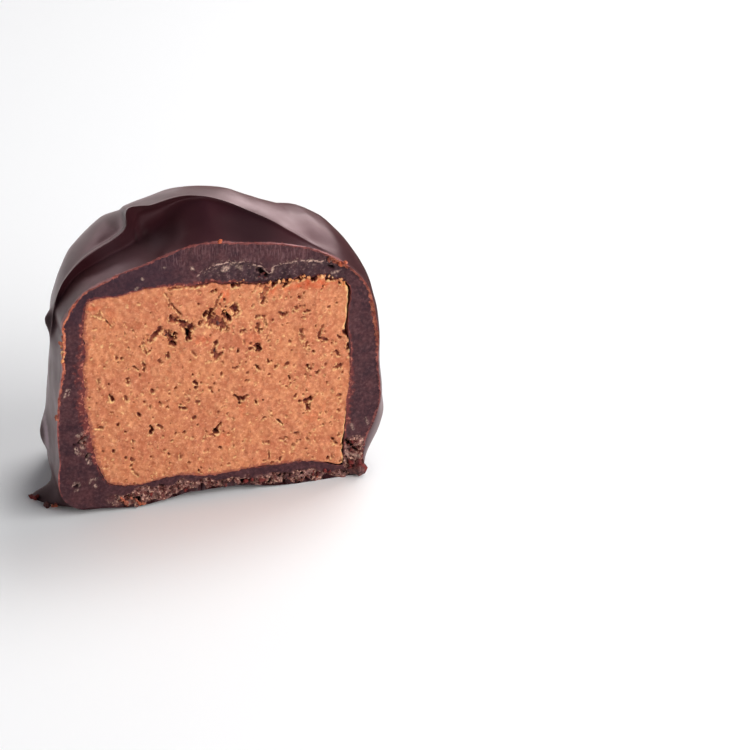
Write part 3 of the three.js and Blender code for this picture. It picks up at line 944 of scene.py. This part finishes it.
# Holes torn in the cut: [x, z, to x, to z, half width, depth].
TEARS = [
    [-3.8, 18.1, -2.8, 17.6, 0.26, 0.7], [-2.7, 17.5, -2.2, 17.0, 0.42, 0.5],
    [-2.3, 17.0, -2.4, 16.1, 0.26, 1.0], [-5.6, 16.4, -5.2, 16.9, 0.24, 0.35],
    [-5.1, 16.9, -4.7, 17.3, 0.18, 0.7], [-4.3, 16.9, -3.9, 16.6, 0.3, 0.5],
    [-3.7, 16.5, -3.8, 15.8, 0.28, 0.9], [-1.0, 18.1, -0.3, 18.4, 0.22, 1.1],
    [-0.4, 18.3, -0.6, 17.7, 0.22, 0.9], [-0.4, 17.3, 0.4, 17.1, 0.42, 0.45],
    [0.1, 17.4, 0.9, 16.6, 0.3, 0.45], [0.9, 17.9, 1.2, 17.4, 0.25, 1.2],
    [1.7, 18.5, 1.9, 17.9, 0.36, 0.5], [-1.4, 17.2, -1.1, 17.5, 0.16, 0.35],
    [-4.3, 20.5, -3.8, 19.6, 0.08, 0.3], [-3.8, 19.6, -2.9, 18.3, 0.09, 0.4],
    [0.0, 15.2, -0.3, 14.4, 0.2, 0.45], [-0.3, 14.4, 0.0, 13.6, 0.22, 0.5],
    [0.1, 13.9, 0.5, 14.1, 0.1, 0.5], [-2.1, 14.8, -1.8, 14.2, 0.12, 0.3],
    [-6.4, 16.1, -6.1, 15.2, 0.16, 0.3], [-6.4, 14.4, -6.4, 13.6, 0.13, 0.4],
    [-7.2, 14.1, -6.9, 13.7, 0.12, 0.4], [-7.8, 12.9, -7.8, 12.5, 0.17, 0.35],
    [-10.3, 13.2, -10.3, 13.0, 0.12, 0.4], [-4.3, 14.6, -4.2, 14.5, 0.17, 0.6],
    [-2.0, 11.7, -1.9, 11.6, 0.14, 0.5], [-10.3, 19.4, -9.3, 18.9, 0.09, 0.2],
    [-9.4, 19.0, -9.3, 18.4, 0.1, 0.2], [-9.9, 19.6, -9.8, 19.4, 0.16, 0.2],
    [0.0, 18.5, 0.1, 19.2, 0.13, 0.3], [0.1, 19.2, 0.6, 19.8, 0.13, 0.3],
    [-0.2, 20.1, 0.1, 20.2, 0.14, 0.7], [-3.9, 20.85, -2.0, 20.9, 0.07, 0.35],
    [-2.0, 20.8, -0.6, 20.9, 0.1, 0.6], [4.6, 19.8, 4.1, 19.2, 0.22, 0.3],
    [4.1, 19.2, 4.3, 18.5, 0.3, 0.35],
    [3.6, 17.2, 4.2, 17.1, 0.17, 0.45], [4.4, 16.6, 4.4, 16.2, 0.15, 0.45],
    [3.6, 16.0, 4.0, 15.8, 0.15, 0.5], [3.7, 16.5, 3.8, 16.2, 0.14, 0.4],
    [5.8, 17.2, 5.9, 17.0, 0.17, 0.5], [7.1, 17.6, 7.2, 17.4, 0.15, 0.4],
    [7.9, 17.0, 8.2, 17.1, 0.14, 0.4], [2.2, 16.0, 2.5, 16.1, 0.16, 0.4],
    [7.5, 15.2, 7.7, 14.4, 0.22, 0.35], [9.5, 15.4, 9.1, 14.5, 0.13, 0.3],
    [9.1, 14.3, 9.8, 14.0, 0.16, 0.4], [3.6, 14.4, 3.7, 14.2, 0.3, 1.2],
    [8.0, 13.9, 8.1, 13.6, 0.16, 0.45], [8.1, 11.7, 8.2, 11.4, 0.16, 0.8],
    [6.1, 12.0, 6.3, 12.2, 0.13, 0.4], [4.5, 12.9, 4.6, 12.7, 0.13, 0.4],
    [3.5, 12.5, 3.7, 12.1, 0.14, 0.6], [5.2, 12.1, 5.4, 12.3, 0.13, 0.35],
    [9.4, 11.5, 9.6, 11.7, 0.14, 0.4], [8.9, 11.0, 9.1, 11.1, 0.14, 0.4],
    [10.5, 11.2, 11.0, 11.3, 0.22, 0.6], [10.7, 12.7, 10.9, 12.4, 0.14, 0.45],
    [11.5, 14.6, 11.8, 14.0, 0.2, 0.6], [11.8, 13.3, 11.9, 12.9, 0.24, 0.6],
    [10.9, 14.1, 11.0, 14.0, 0.13, 0.4], [7.5, 20.05, 7.9, 20.3, 0.14, 1.2],
    [8.6, 19.95, 8.95, 20.15, 0.14, 1.2], [9.9, 19.9, 10.6, 19.8, 0.17, 1.3],
    [6.1, 19.65, 6.6, 20.0, 0.15, 1.2], [5.1, 19.8, 5.4, 20.1, 0.1, 0.9],
    [11.0, 19.5, 11.1, 19.3, 0.12, 0.7],
    [5.2, 20.3, 5.6, 20.3, 0.13, 0.6], [1.6, 20.3, 2.1, 20.4, 0.15, 0.7],
    [-6.1, 7.4, -5.9, 7.8, 0.18, 0.9], [-5.4, 8.0, -5.1, 7.8, 0.12, 0.5],
    [-0.2, 6.5, -0.3, 6.5, 0.27, 1.1], [-0.2, 6.8, 0.2, 7.3, 0.13, 0.8],
    [-9.4, 11.6, -9.3, 11.1, 0.13, 0.6], [-8.1, 11.3, -7.9, 11.0, 0.17, 0.3],
    [-7.1, 9.5, -7.0, 9.3, 0.14, 0.5], [-3.3, 9.5, -2.9, 9.2, 0.13, 0.6],
    [-5.8, 11.5, -5.7, 11.3, 0.15, 0.6], [-7.7, 7.0, -7.6, 6.8, 0.13, 0.45],
    [-7.9, 5.1, -7.7, 4.9, 0.13, 0.5], [-7.8, 4.0, -7.3, 3.4, 0.12, 0.35],
    [-10.7, 8.7, -10.2, 8.6, 0.14, 0.35], [-2.3, 8.2, -2.2, 8.3, 0.14, 0.5],
    [-1.9, 9.8, -1.7, 9.7, 0.13, 0.5], [-1.3, 4.9, -1.1, 4.8, 0.13, 0.3],
    [1.4, 9.9, 1.8, 9.6, 0.1, 0.5], [1.8, 9.6, 2.3, 9.5, 0.15, 0.8],
    [1.9, 9.6, 1.9, 9.1, 0.12, 0.9], [7.3, 8.4, 7.8, 8.3, 0.12, 0.7],
    [7.8, 8.3, 8.3, 8.5, 0.2, 0.9], [8.0, 8.2, 8.1, 7.5, 0.24, 0.7],
    [5.2, 6.8, 5.7, 6.4, 0.11, 0.5], [3.9, 7.0, 4.1, 7.2, 0.1, 0.4],
    [3.9, 4.8, 4.4, 4.7, 0.1, 0.4], [4.4, 3.8, 4.4, 3.0, 0.12, 0.3],
    [10.5, 3.7, 10.6, 3.6, 0.14, 0.5], [10.8, 4.6, 10.9, 4.5, 0.13, 0.4],
    [5.5, 4.8, 5.8, 4.7, 0.09, 0.4], [6.8, 5.2, 7.2, 5.2, 0.11, 0.4],
    [3.4, 9.0, 3.4, 8.9, 0.13, 0.35], [4.6, 7.9, 4.7, 7.7, 0.11, 0.35],
    [6.7, 4.1, 6.7, 3.8, 0.11, 0.3],
]

# Patches stained a warmer orange: [x, z, half width, half height, strength].
WARM_PATCHES = [
    [8.3, 19.5, 2.9, 0.5, 0.72], [4.9, 19.4, 0.8, 0.7, 0.65], [0.9, 19.6, 0.5, 0.9, 0.7],
    [-1.1, 15.8, 1.3, 0.6, 0.4], [3.3, 15.2, 0.8, 0.9, 0.3], [-10.7, 19.95, 1.0, 0.16, 0.5],
    [-8.9, 18.9, 0.5, 0.9, 0.2],
    [0.6, 5.6, 0.7, 0.9, 0.3], [8.4, 6.7, 0.9, 0.6, 0.3], [2.1, 8.3, 0.4, 0.9, 0.3],
]
PORE_COUNT = 760
PORE_REACH = 0.6  # half the side of the square in which a pore is worked out
HOLE_DEPTH = 0.5  # of the depths above
LIP_RISE = 0.04
HOLE_WANDER = 0.06  # how far the holes' outlines are pushed about
FACE_HALF_WIDTH, FACE_HALF_HEIGHT = 11.8, 9.3
FACE_WAVES, FACE_GRAIN = 0.08, 0.05
FALLEN = 0.12  # how far the edge sinks back where it came away


def pores():
    """Small scattered pores as strokes; more of them, and finer, towards the right."""
    rng = np.random.default_rng(7)
    found = []
    for _ in range(PORE_COUNT):
        x = -12 + 24 * rng.random() ** 0.85
        z = rng.uniform(1.0, 20.5)
        size = 0.055 + 0.075 * rng.random() ** 2
        long = size * rng.uniform(0.2, 1.6)
        turn = rng.uniform(0, math.pi)
        depth = rng.uniform(0.05, 0.46) * (0.6 + 5 * size)
        found.append([x, z, x + long * math.cos(turn), z + long * math.sin(turn), size, depth])
    return found


def hole_field(x, z):
    """Depth of holes and pores below the cut face of the buttercream, which also sets their painted
    shade, and the lips just below them, which stand a little proud and take a painted highlight.
    """
    spot = cut_place(x, z)
    torn = noise(spot, 0.27, 45, 3, 0.65)
    x = x + HOLE_WANDER * noise(spot, 0.7, 41, 2)
    z = z + HOLE_WANDER * noise(spot, 0.7, 42, 2)
    hole, lip = strokes_cut(x, z, torn, TEARS)
    for pore in pores():
        near = (np.abs(x - pore[0]) < PORE_REACH) & (np.abs(z - pore[1]) < PORE_REACH)
        if near.any():
            depth, pale = strokes_cut(x[near], z[near], torn[near], [pore])
            hole[near] = np.maximum(hole[near], depth)
            lip[near] = np.maximum(lip[near], 0.7 * pale)
    return hole * (1 + 0.5 * noise(spot, 0.4, 46, 2)), lip


def buttercream_face():
    """The cut face of the buttercream as a grid of points, and what its material needs."""
    u, v = np.meshgrid(np.linspace(-1, 1, FACE_COLUMNS + 1), np.linspace(-1, 1, FACE_ROWS + 1))
    angle = np.degrees(np.arctan2(v * FACE_HALF_HEIGHT, u * FACE_HALF_WIDTH))
    share = np.maximum(np.abs(u), np.abs(v))
    outline = polar(angle, seam_radius(angle), 0)
    gap = come_away(angle) * np.clip(0.85 + 0.9 * noise(outline, 1.6, 55, 2), 0, 2)
    radius = seam_radius(angle) - gap
    face = polar(angle, radius * share, np.zeros_like(u))
    x, z = face[..., 0], face[..., 2]
    spot = cut_place(x, z)
    edge = (1 - share) * radius
    hole, lip = hole_field(x, z)
    fallen = FALLEN * smoothstep(gap, 0, 0.06) * bell(edge / FALLEN)
    lumps = FACE_WAVES * noise(spot, 2.2, 51, 3) + FACE_GRAIN * noise(spot, 0.36, 52, 2)
    face[..., 1] = HOLE_DEPTH * hole - LIP_RISE * lip + lumps + fallen
    frayed = 0.4 * noise(spot, 0.8, 53, 3)

    def patch_reach(patch):
        return np.hypot((x - patch[0]) / patch[2], (z - patch[1]) / patch[3]) + frayed

    warm = strongest(WARM_PATCHES, patch_reach, 1.2, 0.3)
    lit_width = lit_edge(angle) * (1 + 0.7 * noise(spot, 0.6, 54, 2))
    lit = smoothstep(lit_width - edge, 0.0, 0.16)
    smear = np.clip(1.3 * (1 - edge / np.maximum(seam_smear(angle), 1e-3)), 0, 1)
    return face, {"hole": hole, "lip": lip, "lit": lit, "warm": warm * (1 - lit), "smear": smear}


def grid_rim(grid):
    """The outer points of a grid in order round it."""
    return np.concatenate([grid[0, :-1], grid[:-1, -1], grid[-1, :0:-1], grid[:0:-1, 0]])


def build_buttercream():
    face, looks = buttercream_face()
    grid = np.arange(face[..., 0].size).reshape(face.shape[:2])
    rim = grid_rim(face)
    quads = np.stack([grid[:-1, :-1], grid[:-1, 1:], grid[1:, 1:], grid[1:, :-1]], -1)
    rim_angle = np.degrees(np.arctan2(rim[:, 2] - AXIS_HEIGHT, rim[:, 0]))
    rim_radius = np.hypot(rim[:, 2] - AXIS_HEIGHT, rim[:, 0])
    back = block_rows(rim_angle, rim_radius, FILLING_DEPTH)[1:]
    points = np.concatenate([face.reshape(-1, 3), back.reshape(-1, 3)])
    index = grid.size + np.arange(back[..., 0].size).reshape(-1, len(rim))
    index = np.concatenate([grid_rim(grid)[None], index])
    following = np.roll(index, -1, 1)
    sides = np.stack([index[:-1], index[1:], following[1:], following[:-1]], -1)
    faces = np.concatenate([quads.reshape(-1, 4), sides.reshape(-1, 4)])
    tail = np.zeros(back[..., 0].size)
    attributes = {name: np.append(field.ravel(), tail) for name, field in looks.items()}
    piece = make_mesh("buttercream", points, faces, [buttercream_material()], None, attributes)
    tidy_mesh(piece, 70)
    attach(piece, "root")
    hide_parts(FILLING_NODE)


# -------------------- crumbs

# Lines along which crumbs lie: [x, z, to x, to z, y, spread, size, count].
CHOCOLATE_CRUMBS = [
    [-15.9, 0.3, -15.3, 0.2, 4.2, 0.3, 0.5, 4], [-15.2, 0.2, -14.2, 0.15, 2.6, 0.3, 0.4, 6],
    [12.2, 1.0, 12.5, 0.6, -0.1, 0.15, 1.15, 3], [12.0, 1.7, 12.8, 0.5, -0.1, 0.3, 0.5, 7],
    [11.7, 1.6, 12.5, 0.8, -0.05, 0.25, 0.3, 9], [11.6, 3.6, 12.6, 2.3, 0.05, 0.3, 0.22, 10],
    [1.8, 1.1, 4.6, 0.9, 0.06, 0.3, 0.4, 10], [5.0, 0.9, 11.5, 0.8, 0.1, 0.25, 0.34, 16],
    [-6.5, 1.15, 1.5, 1.2, 0.1, 0.25, 0.32, 14], [3.6, 21.4, 4.6, 20.9, 0.02, 0.25, 0.2, 6],
    [-0.4, 17.3, 0.8, 16.8, 0.25, 0.15, 0.3, 5], [1.7, 18.4, 1.9, 18.0, 0.25, 0.08, 0.3, 2],
    [-2.9, 17.6, -2.2, 17.1, 0.25, 0.1, 0.24, 4], [-5.6, 16.5, -3.8, 16.6, 0.15, 0.12, 0.2, 5],
    [-0.2, 14.6, -0.1, 13.9, 0.2, 0.06, 0.2, 3], [4.2, 19.3, 4.3, 18.6, 0.15, 0.08, 0.24, 3],
]
BURR_CRUMBS = [
    [-12.9, 19.0, -13.3, 16.6, -0.05, 0.08, 0.3, 7], [-14.1, 10.4, -14.0, 10.1, 0.0, 0.05, 0.42, 3],
    [10.0, 21.7, 11.7, 20.8, 0.0, 0.25, 0.34, 14], [-8.9, 1.4, -8.4, 0.5, -0.02, 0.15, 0.34, 7],
    [-8.2, 1.3, -7.0, 0.4, -0.02, 0.25, 0.26, 9], [0.6, 24.6, 0.7, 24.75, 0.0, 0.04, 0.26, 3],
    [6.0, 0.5, 9.5, 0.4, -0.03, 0.15, 0.14, 8], [-14.9, 0.2, -14.3, 0.15, 2.2, 0.2, 0.4, 3],
]
BUTTERCREAM_CRUMBS = [
    [4.8, 20.25, 7.4, 20.2, 0.0, 0.16, 0.24, 14], [7.6, 20.4, 10.9, 19.9, 0.0, 0.14, 0.24, 16],
    [10.8, 19.9, 11.6, 19.0, 0.0, 0.16, 0.24, 12], [0.6, 18.2, 1.5, 17.2, 0.0, 0.4, 0.14, 7],
    [-13.1, 17.8, -13.25, 15.3, -0.06, 0.12, 0.27, 16],
    [-2.6, 17.9, 0.2, 16.4, 0.0, 0.4, 0.14, 12], [-11.4, 14.0, -11.6, 8.0, 0.04, 0.15, 0.13, 16],
    [-4.4, 17.4, -3.4, 16.0, 0.0, 0.3, 0.12, 6], [1.6, 20.5, 2.6, 20.8, 0.02, 0.12, 0.12, 5],
]


CRUMB_LUMPS = 0.5  # height of the lumps, in parts of a crumb's radius
CRUMB_STRETCH = 0.35, 1.25
CRUMB_SIZES = 0.4, 1.4  # in parts of the size given above
FULL_TURN = 6.28


def crumb(rng, place, size):
    """One lumpy scrap, as an unevenly stretched ball of noise."""
    ball = bmesh.new()
    bmesh.ops.create_icosphere(ball, subdivisions=2, radius=1.0)
    points = np.array([vertex.co for vertex in ball.verts])
    faces = [[vertex.index for vertex in face.verts] for face in ball.faces]
    ball.free()
    lumps = CRUMB_LUMPS * noise(points + rng.uniform(0, 50, 3), 0.9, 61, 2)
    points = points * (1 + lumps)[:, None]
    points = points * (size / 2 * rng.uniform(*CRUMB_STRETCH, 3))
    turn = Euler(rng.uniform(0, FULL_TURN, 3)).to_matrix()
    return points @ np.array(turn) + place, faces


def build_crumbs(name, clusters, material, seed):
    """All crumbs of one kind as one piece; none reaches below the base."""
    rng = np.random.default_rng(seed)
    points, faces = [], []
    for x, z, end_x, end_z, y, spread, size, count in clusters:
        for _ in range(count):
            along = rng.random()
            place = np.array([lerp(x, end_x, along), y, lerp(z, end_z, along)])
            place[[0, 2]] += rng.normal(0, spread / 2, 2)
            scrap = size * rng.uniform(*CRUMB_SIZES)
            place[2] = max(place[2], scrap / 2)
            new_points, new_faces = crumb(rng, place, scrap)
            start = sum(len(p) for p in points)
            points.append(new_points)
            faces += [[start + i for i in face] for face in new_faces]
    points = np.concatenate(points)
    points[:, 2] = np.maximum(points[:, 2], 0)
    piece = make_mesh(name, points, faces, [material])
    piece.data.polygons.foreach_set("use_smooth", np.zeros(len(faces), bool))
    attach(piece, "root")


def build_all_crumbs():
    dark = crumb_material("crumbs_dark_chocolate", srgb(52, 28, 32), srgb(118, 78, 74),
                          srgb(126, 42, 38))
    build_crumbs("chocolate_crumbs", CHOCOLATE_CRUMBS, dark, 3)
    burr = crumb_material("crumbs_chocolate_burr", srgb(132, 66, 56), srgb(190, 118, 94),
                          srgb(196, 98, 64))
    build_crumbs("chocolate_burr_crumbs", BURR_CRUMBS, burr, 4)
    cream = crumb_material("crumbs_buttercream", srgb(206, 128, 88), srgb(248, 200, 144),
                           srgb(232, 150, 92))
    build_crumbs("buttercream_crumbs", BUTTERCREAM_CRUMBS, cream, 5)


# -------------------- stage, light and camera

FLOOR_SIZE = 3.0  # metres


def build_stage():
    bpy.ops.mesh.primitive_plane_add(size=FLOOR_SIZE, location=(0, 0, ORIGIN[2]))
    floor = bpy.context.object
    floor.name = "floor"
    s = Shader("floor_white", (0.93, 0.93, 0.93, 1.0), Specular_IOR_Level=0.1)
    floor.data.materials.append(s.finish(0.8))
    build_card()
    build_world()


CARD_PLACE = [28.0, 19.0, 14.0]
CARD_TURN = -40
CARD_WIDTH, CARD_HEIGHT = 60, 28


def build_card():
    """A low black card behind the right side, seen by the gloss alone, that darkens its edge."""
    turn = (math.radians(90), 0, math.radians(CARD_TURN))
    place = frame_vector(CARD_PLACE)
    bpy.ops.mesh.primitive_plane_add(size=MM, location=place, rotation=turn)
    card = bpy.context.object
    card.name = "black_card"
    card.scale = (CARD_WIDTH, CARD_HEIGHT, 1)
    s = Shader("card_black", (0.02, 0.012, 0.012, 1.0), Specular_IOR_Level=0.0)
    card.data.materials.append(s.finish(1.0))
    card.visible_camera = False
    card.visible_diffuse = False
    card.visible_shadow = False


# Light by the height of a direction, and how it dims towards the front.
WORLD_RAMP = [
    [0.0, (1.0, 1.0, 1.0)], [0.2, (1.0, 0.98, 0.97)], [0.42, (0.85, 0.83, 0.82)],
    [0.6, (0.08, 0.08, 0.08)], [0.92, (0.04, 0.045, 0.06)], [0.97, (0.03, 0.07, 0.14)],
]
WORLD_FRONT = {"From Min": -0.8, "From Max": -0.2, "To Min": 0.1, "To Max": 1.0}


def build_world():
    """A pale horizon behind, dark overhead and in front, like a white sweep in a dim room."""
    world = bpy.data.worlds.new("studio")
    bpy.context.scene.world = world
    world.use_nodes = True
    tree = world.node_tree
    direction = tree.nodes.new("ShaderNodeTexCoord").outputs["Generated"]
    split = tree.nodes.new("ShaderNodeSeparateXYZ")
    tree.links.new(direction, split.inputs["Vector"])
    ramp = tree.nodes.new("ShaderNodeValToRGB")
    tree.links.new(split.outputs["Z"], ramp.inputs["Fac"])
    stops = ramp.color_ramp.elements
    for place, level in WORLD_RAMP[1:-1]:
        stops.new(place)
    for stop, (place, level) in zip(stops, WORLD_RAMP):
        stop.position = place
        stop.color = (*level, 1)
    tree.links.new(ramp.outputs["Color"], tree.nodes["Background"].inputs["Color"])
    dim = tree.nodes.new("ShaderNodeMapRange")
    tree.links.new(split.outputs["Y"], dim.inputs["Value"])
    for key, number in WORLD_FRONT.items():
        dim.inputs[key].default_value = number
    tree.links.new(dim.outputs["Result"], tree.nodes["Background"].inputs["Strength"])


LAMP_AIM = [0.0, 5.0, 12.0]


def softbox(name, place, width, height, radiance, mirrored=False, color=(1, 1, 1)):
    """An even area light aimed at the candy, seen by the gloss alone or by the rest alone."""
    light = bpy.data.lights.new(name, "AREA")
    light.shape = "RECTANGLE"
    light.size = width * MM
    light.size_y = height * MM
    light.energy = radiance * math.pi * light.size * light.size_y
    light.color = color
    lamp = bpy.data.objects.new(name, light)
    bpy.context.scene.collection.objects.link(lamp)
    lamp.location = frame_vector(place)
    aim = frame_vector(LAMP_AIM) - lamp.location
    lamp.rotation_euler = aim.to_track_quat("-Z", "Y").to_euler()
    lamp.visible_glossy = mirrored
    lamp.visible_diffuse = not mirrored


def build_lights():
    softbox("key", [235, -235, 200], 420, 260, 4.8)
    softbox("back_top", [190, 140, 330], 200, 200, 7.5)
    softbox("back_right", [250, 290, 190], 280, 320, 3.7, True, (1.0, 0.83, 0.84))
    softbox("back_left", [-230, 300, 265], 420, 115, 2.6, True, (1.0, 0.83, 0.87))


CAMERA_AZIMUTH = -13.0
CAMERA_ELEVATION = 28.0
CAMERA_DISTANCE = 206.9  # from the candy's middle
CAMERA_LENS = 115.2
SENSOR_WIDTH = 36.0
CANDY_MIDDLE = [0.0, 0.0, 12.0]
CAMERA_AIM = [13.6, -0.4]  # how far right of and above the candy's middle the camera aims


def build_camera():
    azimuth = math.radians(CAMERA_AZIMUTH)
    elevation = math.radians(CAMERA_ELEVATION)
    back = Vector((math.sin(azimuth) * math.cos(elevation),
                   -math.cos(azimuth) * math.cos(elevation), math.sin(elevation)))
    right = Vector((math.cos(azimuth), math.sin(azimuth), 0))
    up = back.cross(right)
    middle = frame_vector(CANDY_MIDDLE)
    data = bpy.data.cameras.new("camera")
    data.lens = CAMERA_LENS
    data.sensor_width = SENSOR_WIDTH
    data.clip_start = 0.01
    camera = bpy.data.objects.new("camera", data)
    bpy.context.scene.collection.objects.link(camera)
    camera.location = middle + back * CAMERA_DISTANCE * MM
    aim = middle + (right * CAMERA_AIM[0] + up * CAMERA_AIM[1]) * MM
    camera.rotation_euler = (aim - camera.location).to_track_quat("-Z", "Y").to_euler()
    bpy.context.scene.camera = camera
    bpy.context.scene.view_settings.view_transform = "Standard"


build_camera()
build_coat()
build_buttercream()
build_all_crumbs()
build_stage()
build_lights()
